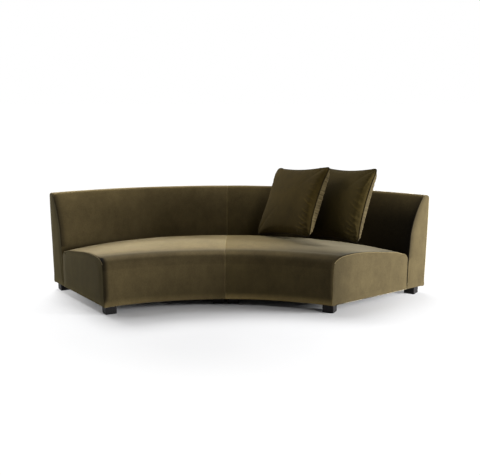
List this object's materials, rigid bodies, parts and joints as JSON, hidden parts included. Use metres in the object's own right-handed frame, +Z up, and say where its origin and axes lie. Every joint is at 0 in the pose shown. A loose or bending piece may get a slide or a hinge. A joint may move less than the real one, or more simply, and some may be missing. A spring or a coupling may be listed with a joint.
{
  "type": "curved sofa",
  "caption": "Curved armless sofa in two upholstered modules that join at a middle seam, on short block feet, with loose square cushions.",
  "frame": {"origin": "middle of the footprint on the floor", "axes": "+Z up, +X to the right as seen from the front, +Y towards the back"},
  "size_m": [2.9784, 1.1324, 1.0156],
  "materials": {
    "velvet": "olive velvet with a soft short pile",
    "foam": "cream upholstery foam and fibre filling",
    "lining_cloth": "thin black woven lining",
    "steel": "plain zinc-coated steel",
    "timber": "unfinished timber and plywood",
    "board": "plain brown fibreboard",
    "foot_finish": "satin black stain"
  },
  "bodies": {
    "left_module": {"left_seat_cover": "velvet", "left_seat_end_panel": "velvet", "left_seat_seam_panel": "velvet", "left_back_cover": "velvet", "left_back_end_panel": "velvet", "left_back_seam_panel": "velvet", "left_seat_foam": "foam", "left_back_foam": "foam", "left_deck_cloth": "lining_cloth", "left_dust_cover": "lining_cloth", "left_spring_set": "steel", "left_inner_back_bolt": "steel", "left_outer_back_bolt": "steel", "left_front_rail": "timber", "left_seat_rear_rail": "timber", "left_end_rail": "timber", "left_seam_rail": "timber", "left_cross_rail": "timber", "left_back_frame": "timber", "left_back_top_rail": "timber", "left_back_board": "board", "left_front_outer_foot": "foot_finish", "left_rear_outer_foot": "foot_finish", "left_front_inner_foot": "foot_finish", "left_rear_inner_foot": "foot_finish", "left_front_connector_tongue": "steel", "left_rear_connector_tongue": "steel"},
    "right_module": {"right_seat_cover": "velvet", "right_seat_end_panel": "velvet", "right_seat_seam_panel": "velvet", "right_back_cover": "velvet", "right_back_end_panel": "velvet", "right_back_seam_panel": "velvet", "right_seat_foam": "foam", "right_back_foam": "foam", "right_deck_cloth": "lining_cloth", "right_dust_cover": "lining_cloth", "right_spring_set": "steel", "right_inner_back_bolt": "steel", "right_outer_back_bolt": "steel", "right_front_rail": "timber", "right_seat_rear_rail": "timber", "right_end_rail": "timber", "right_seam_rail": "timber", "right_cross_rail": "timber", "right_back_frame": "timber", "right_back_top_rail": "timber", "right_back_board": "board", "right_front_outer_foot": "foot_finish", "right_rear_outer_foot": "foot_finish", "right_front_inner_foot": "foot_finish", "right_rear_inner_foot": "foot_finish", "right_front_connector_keeper": "steel", "right_rear_connector_keeper": "steel"},
    "left_cushion": {"left_cushion_cover": "velvet", "left_cushion_insert": "foam", "left_cushion_zip": "lining_cloth"},
    "right_cushion": {"right_cushion_cover": "velvet", "right_cushion_insert": "foam", "right_cushion_zip": "lining_cloth"}
  },
  "joints": [
    {"name": "module_slide", "type": "slide", "parent": "left_module", "child": "right_module", "axis": [1, 0, 0], "range_m": [0, 0.3]},
    {"name": "left_cushion_lift", "type": "slide", "parent": "right_module", "child": "left_cushion", "axis": [0.5039, 0.1214, 0.8552], "range_m": [0, 0.2]},
    {"name": "right_cushion_lift", "type": "slide", "parent": "right_module", "child": "right_cushion", "axis": [0.4515, 0.0076, 0.8922], "range_m": [0, 0.2]}
  ]
}
